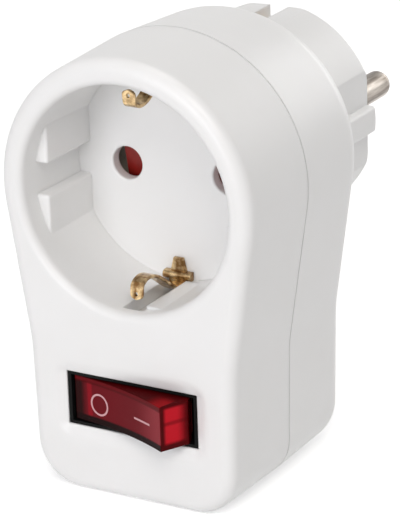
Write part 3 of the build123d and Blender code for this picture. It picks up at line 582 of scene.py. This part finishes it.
def tongueDrill(name, line, side):
    # rod across the tip, where the tongue's small hole is
    shape = bmesh.new()
    radius = tongue["holeRadius"] * mm
    bmesh.ops.create_cone(shape, cap_ends=True, segments=tongue["holeSides"], radius1=radius, radius2=radius,
                          depth=tongue["drillLength"] * mm)
    bmesh.ops.rotate(shape, verts=shape.verts, matrix=Matrix.Rotation(math.pi / 2, 3, "X"))
    y, height = line[-1]
    place = (0, y * mm, (tongue["axisHeight"] + side * (height - tongue["holeUp"])) * mm)
    bmesh.ops.translate(shape, verts=shape.verts, vec=place)
    return addObject(name, writeMesh(shape, bpy.data.meshes.new(name)))


def tongueMesh(name, side):
    line = tongueLine()
    strip = tongueStrip(name, line, side)
    drill = tongueDrill(name + "Drill", line, side)
    strip.modifiers.new("hole", "BOOLEAN").object = drill
    strip.data.shade_smooth()
    strip.data.set_sharp_from_angle(angle=math.radians(tongue["sharpDegrees"]))
    strip.modifiers.new("flat", "WEIGHTED_NORMAL").keep_sharp = True
    made = evaluated(strip)
    bpy.data.objects.remove(drill)
    return made


def softenEdges(node, facts):
    # the CAD solid's own shape, with its loose triangles merged and its sharp edges rounded over
    mesh = frame["nodes"][node].data.copy()
    shape = bmesh.new()
    shape.from_mesh(mesh)
    bmesh.ops.remove_doubles(shape, verts=shape.verts, dist=softening["mergeMm"] * mm)
    bmesh.ops.dissolve_limit(shape, angle_limit=math.radians(softening["flatDegrees"]), verts=shape.verts,
                             edges=shape.edges)
    if "tongueSide" in facts:
        everything = list(shape.verts) + list(shape.edges) + list(shape.faces)
        cut = bmesh.ops.bisect_plane(shape, geom=everything, plane_co=(0, tongue["cutY"] * mm, 0),
                                     plane_no=(0, 1, 0), clear_inner=True)
        edges = [item for item in cut["geom_cut"] if isinstance(item, bmesh.types.BMEdge)]
        bmesh.ops.holes_fill(shape, edges=edges)
    writeMesh(shape, mesh).shade_smooth()
    draft = addObject(facts["piece"] + "Draft", mesh)
    edge = draft.modifiers.new("edge", "BEVEL")
    edge.width = facts["edgeMm"] * mm
    edge.segments = softening["segments"]
    edge.limit_method = "ANGLE"
    edge.angle_limit = math.radians(softening["sharpDegrees"])
    draft.modifiers.new("flat", "WEIGHTED_NORMAL").keep_sharp = True
    made = evaluated(draft)
    if "tongueSide" in facts:
        joined = bmesh.new()
        joined.from_mesh(made)
        joined.from_mesh(tongueMesh(facts["piece"] + "Tongue", facts["tongueSide"]))
        writeMesh(joined, made)
    piece = addPiece(facts["piece"], made, facts["body"], finish[slotOf[node]])
    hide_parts(node)
    print(facts["piece"], "has", len(piece.data.polygons), "faces")


for node, facts in softened.items():
    softenEdges(node, facts)

# marks printed on the rocker, in its own frame: off at the pressed end, on at the raised end
marks = {
    "offCentre": (-5.1, -0.33), "offRadius": 1.76, "offSteps": 72,
    "onFrom": 3.15, "onTo": 7.2, "onHeight": -0.2, "onSteps": 12,
    "strokeMm": 0.32, "thicknessMm": 0.03,
}


def facePoint(x, z, outwards):
    # a point on the rocker's dished face, in metres
    halfFace, dip = rockerFrame["halfFace"], rockerFrame["dip"]
    radius = (halfFace ** 2 + dip ** 2) / (2 * dip)
    depth = dip - rockerFrame["front"] - (radius - math.sqrt(radius ** 2 - x ** 2)) - outwards
    turned = Matrix.Rotation(math.radians(rockerFrame["turn"]), 3, "Z") @ Vector((x, depth, z))
    return (turned + Vector(rockerFrame["pivot"])) * mm


def inkStroke(name, line, closed):
    # a flat stroke of ink that follows the face, four corners carried along the line
    half, lift = marks["strokeMm"] / 2, marks["thicknessMm"]
    shape = bmesh.new()
    rings = []
    for i, here in enumerate(line):
        before = line[(i - 1) % len(line)] if closed or i else here
        after = line[(i + 1) % len(line)] if closed or i < len(line) - 1 else here
        along = (Vector(after) - Vector(before)).normalized()
        aside = Vector((-along[1], along[0])) * half
        corners = ((1, lift), (-1, lift), (-1, -lift), (1, -lift))
        spots = [facePoint(here[0] + s * aside[0], here[1] + s * aside[1], out) for s, out in corners]
        rings.append([shape.verts.new(spot) for spot in spots])
    skinRings(shape, rings, closed)
    # the record has no slot for ink, so the marks name the housing's
    addPiece(name, writeMesh(shape, bpy.data.meshes.new(name)), "rocker", finish["ink"])


def makeMarks():
    x, z = marks["offCentre"]
    radius = marks["offRadius"]
    turns = [2 * math.pi * i / marks["offSteps"] for i in range(marks["offSteps"])]
    inkStroke("offMark", [(x + radius * math.cos(t), z + radius * math.sin(t)) for t in turns], True)
    step = (marks["onTo"] - marks["onFrom"]) / marks["onSteps"]
    line = [(marks["onFrom"] + step * i, marks["onHeight"]) for i in range(marks["onSteps"] + 1)]
    inkStroke("onMark", line, False)


makeMarks()
print("marks printed")

# screws, in millimetres; each seat is the middle of a head's flat side
screws = {
    "centreScrew": {"node": "centre_screw", "seats": [(0, -12.6, -1.1)], "length": 19.6},
    "baseScrews": {"node": "base_screws", "seats": [(12, -22, -46.5), (-12, -22, -46.5)], "length": 16.0},
}
screwSizes = {
    "Head Radius": 2.7, "Head Height": 1.8, "Crest Radius": 1.45, "Thread Depth": 0.38, "Pitch": 1.12,
    "Tip Length": 2.2, "Cross Width": 3.1, "Cross Slot": 0.62, "Cross Depth": 1.0,
}
screwMesh = {"headSides": 48, "headRings": 24, "rodSides": 24, "mergeMm": 0.005, "sharpDegrees": 35}
# the form of the head and the thread, without a unit: powers, shares and steps
screwForm = {
    "equator": 0.0001, "sideBulge": -0.42, "dome": 0.62, "ringsInPitch": 12.0, "ridgePower": 1.6,
    "perMm": 1 / mm, "neckMm": 1.6, "neckLoss": -0.65, "tipShare": 0.18, "tipGain": 0.82, "turn": 2 * math.pi,
}
# the sums of the screws' tree, one to a line: a name, the operation, and what goes in, which is a number or
# the name of a size, a form value, an axis or an earlier sum
screwSums = [
    # head: the lower half of a ball is flattened, the upper half follows a superellipse
    ("isUpper", "GREATER_THAN", "Z", "equator"),
    ("power", "MULTIPLY_ADD", "isUpper", "sideBulge", 1.0),
    ("swollen", "POWER", "outwards", "power"),
    ("headReach", "MULTIPLY", "swollen", "Head Radius"),
    ("upper", "MAXIMUM", "Z", 0.0),
    ("domed", "POWER", "upper", "dome"),
    ("headRise", "MULTIPLY", "domed", "Head Height"),
    ("crossHeight", "MULTIPLY", "Cross Depth", 2.0),
    # thread: a ridge that climbs by one pitch in a turn
    ("ringsWanted", "MULTIPLY", "Length", "ringsInPitch"),
    ("ringShare", "DIVIDE", "ringsWanted", "Pitch"),
    ("rings", "ROUND", "ringShare"),
    ("below", "MULTIPLY_ADD", "Length", -0.5, "Z"),
    ("angle", "ARCTAN2", "Y", "X"),
    ("turned", "DIVIDE", "angle", "turn"),
    ("wound", "DIVIDE", "below", "Pitch"),
    ("climbed", "SUBTRACT", "wound", "turned"),
    ("phase", "FRACT", "climbed"),
    ("centred", "MULTIPLY_ADD", "phase", 2.0, -1.0),
    ("slope", "ABSOLUTE", "centred"),
    ("ridge", "POWER", "slope", "ridgePower"),
    # the ridge is lower just under the head
    ("neckPart", "MULTIPLY_ADD", "below", "perMm", "neckMm"),
    ("neckAbove", "MAXIMUM", "neckPart", 0.0),
    ("neckInside", "MINIMUM", "neckAbove", 1.0),
    ("neck", "MULTIPLY_ADD", "neckInside", "neckLoss", 1.0),
    ("raised", "MULTIPLY", "ridge", "neck"),
    ("hollow", "SUBTRACT", 1.0, "raised"),
    ("groove", "MULTIPLY", "hollow", "Thread Depth"),
    ("bodyReach", "SUBTRACT", "Crest Radius", "groove"),
    # the shank runs out to a blunt point
    ("aboveTip", "ADD", "below", "Length"),
    ("tipPart", "DIVIDE", "aboveTip", "Tip Length"),
    ("tipInside", "MINIMUM", "tipPart", 1.0),
    ("runOut", "MULTIPLY_ADD", "tipInside", "tipGain", "tipShare"),
    ("pointedReach", "MULTIPLY", "bodyReach", "runOut"),
    ("rodPart", "DIVIDE", "outwards", "Crest Radius"),
    ("rodInside", "MINIMUM", "rodPart", 1.0),
    ("shankReach", "MULTIPLY", "pointedReach", "rodInside"),
]


def screwTree(material):
    # pan-head screws for plastic, one on each point, head towards +Y: a head with a cross recess, and a
    # shank whose radius follows the thread's helix
    tree = bpy.data.node_groups.new("panHeadScrews", "GeometryNodeTree")
    tree.interface.new_socket("Geometry", in_out="INPUT", socket_type="NodeSocketGeometry")
    for name in list(screwSizes) + ["Length"]:
        tree.interface.new_socket(name, in_out="INPUT", socket_type="NodeSocketFloat")
    tree.interface.new_socket("Geometry", in_out="OUTPUT", socket_type="NodeSocketGeometry")
    given = addNode(tree, "NodeGroupInput").outputs
    spot = addNode(tree, "GeometryNodeInputPosition").outputs[0]
    axes = addNode(tree, "ShaderNodeSeparateXYZ", {0: spot}).outputs
    level = addNode(tree, "ShaderNodeVectorMath", {0: spot, 1: (1, 1, 0)}, operation="MULTIPLY").outputs[0]
    ray = addNode(tree, "ShaderNodeVectorMath", {0: level}, operation="NORMALIZE").outputs[0]
    known = dict(screwForm)
    known.update({socket.name: socket for socket in list(given) + list(axes)})
    known["outwards"] = addNode(tree, "ShaderNodeVectorMath", {0: level}, operation="LENGTH").outputs["Value"]
    for name, operation, *terms in screwSums:
        sockets = {i: known.get(term, term) for i, term in enumerate(terms)}
        known[name] = addNode(tree, "ShaderNodeMath", sockets, operation=operation).outputs[0]
    # a ball becomes the head and a rod the shank
    ball = addNode(tree, "GeometryNodeMeshUVSphere", {
        "Segments": screwMesh["headSides"], "Rings": screwMesh["headRings"], "Radius": 1.0,
    })
    rod = addNode(tree, "GeometryNodeMeshCylinder", {
        "Vertices": screwMesh["rodSides"], "Side Segments": known["rings"], "Radius": given["Crest Radius"],
        "Depth": given["Length"],
    })
    shaped = []
    for blank, sideways, upwards in ((ball, "headReach", "headRise"), (rod, "shankReach", "below")):
        aside = addNode(tree, "ShaderNodeVectorMath", {0: ray, "Scale": known[sideways]}, operation="SCALE")
        lift = addNode(tree, "ShaderNodeCombineXYZ", {2: known[upwards]})
        place = addNode(tree, "ShaderNodeVectorMath", {0: aside.outputs[0], 1: lift.outputs[0]},
                        operation="ADD")
        moved = addNode(tree, "GeometryNodeSetPosition", {
            "Geometry": blank.outputs[0], "Position": place.outputs[0],
        })
        shaped.append(moved.outputs[0])
    head, shank = shaped
    # cross recess, cut by two bars
    cross = addNode(tree, "GeometryNodeMeshBoolean", operation="UNION", solver="EXACT")
    for across, along in (("Cross Width", "Cross Slot"), ("Cross Slot", "Cross Width")):
        size = addNode(tree, "ShaderNodeCombineXYZ", {
            0: given[across], 1: given[along], 2: known["crossHeight"],
        })
        bar = addNode(tree, "GeometryNodeMeshCube", {"Size": size.outputs[0]})
        lift = addNode(tree, "ShaderNodeCombineXYZ", {2: given["Head Height"]})
        lifted = addNode(tree, "GeometryNodeTransform", {
            "Geometry": bar.outputs[0], "Translation": lift.outputs[0],
        })
        tree.links.new(lifted.outputs[0], cross.inputs["Mesh 2"])
    cut = addNode(tree, "GeometryNodeMeshBoolean", {"Mesh 1": head, "Mesh 2": cross.outputs[0]},
                  operation="DIFFERENCE", solver="EXACT")
    joined = addNode(tree, "GeometryNodeJoinGeometry")
    for part in (cut.outputs[0], shank):
        tree.links.new(part, joined.inputs[0])
    stood = addNode(tree, "GeometryNodeInstanceOnPoints", {
        "Points": given["Geometry"], "Instance": joined.outputs[0], "Rotation": (-math.pi / 2, 0, 0),
    })
    real = addNode(tree, "GeometryNodeRealizeInstances", {"Geometry": stood.outputs[0]})
    painted = addNode(tree, "GeometryNodeSetMaterial", {"Geometry": real.outputs[0], "Material": material})
    addNode(tree, "NodeGroupOutput", {"Geometry": painted.outputs[0]})
    return tree


def makeScrews():
    tree = screwTree(finish["zinc_steel"])
    sockets = {item.name: item.identifier for item in tree.interface.items_tree if item.in_out == "INPUT"}
    for name, facts in screws.items():
        seats = bpy.data.meshes.new(name + "Seats")
        seats.from_pydata([tuple(v * mm for v in seat) for seat in facts["seats"]], [], [])
        draft = addObject(name + "Draft", seats)
        made = draft.modifiers.new("screws", "NODES")
        made.node_group = tree
        for label, size in {**screwSizes, "Length": facts["length"]}.items():
            made[sockets[label]] = size * mm
        mesh = evaluated(draft)
        # the recess leaves a few slivers without area, which are closed up
        shape = bmesh.new()
        shape.from_mesh(mesh)
        bmesh.ops.dissolve_degenerate(shape, dist=screwMesh["mergeMm"] * mm, edges=shape.edges)
        bmesh.ops.triangulate(shape, faces=shape.faces)
        bmesh.ops.dissolve_degenerate(shape, dist=screwMesh["mergeMm"] * mm, edges=shape.edges)
        writeMesh(shape, mesh).shade_smooth()
        mesh.set_sharp_from_angle(angle=math.radians(screwMesh["sharpDegrees"]))
        piece = addPiece(name, mesh, "housing", finish["zinc_steel"])
        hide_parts(facts["node"])
        print(name, "has", len(mesh.polygons), "faces")


makeScrews()
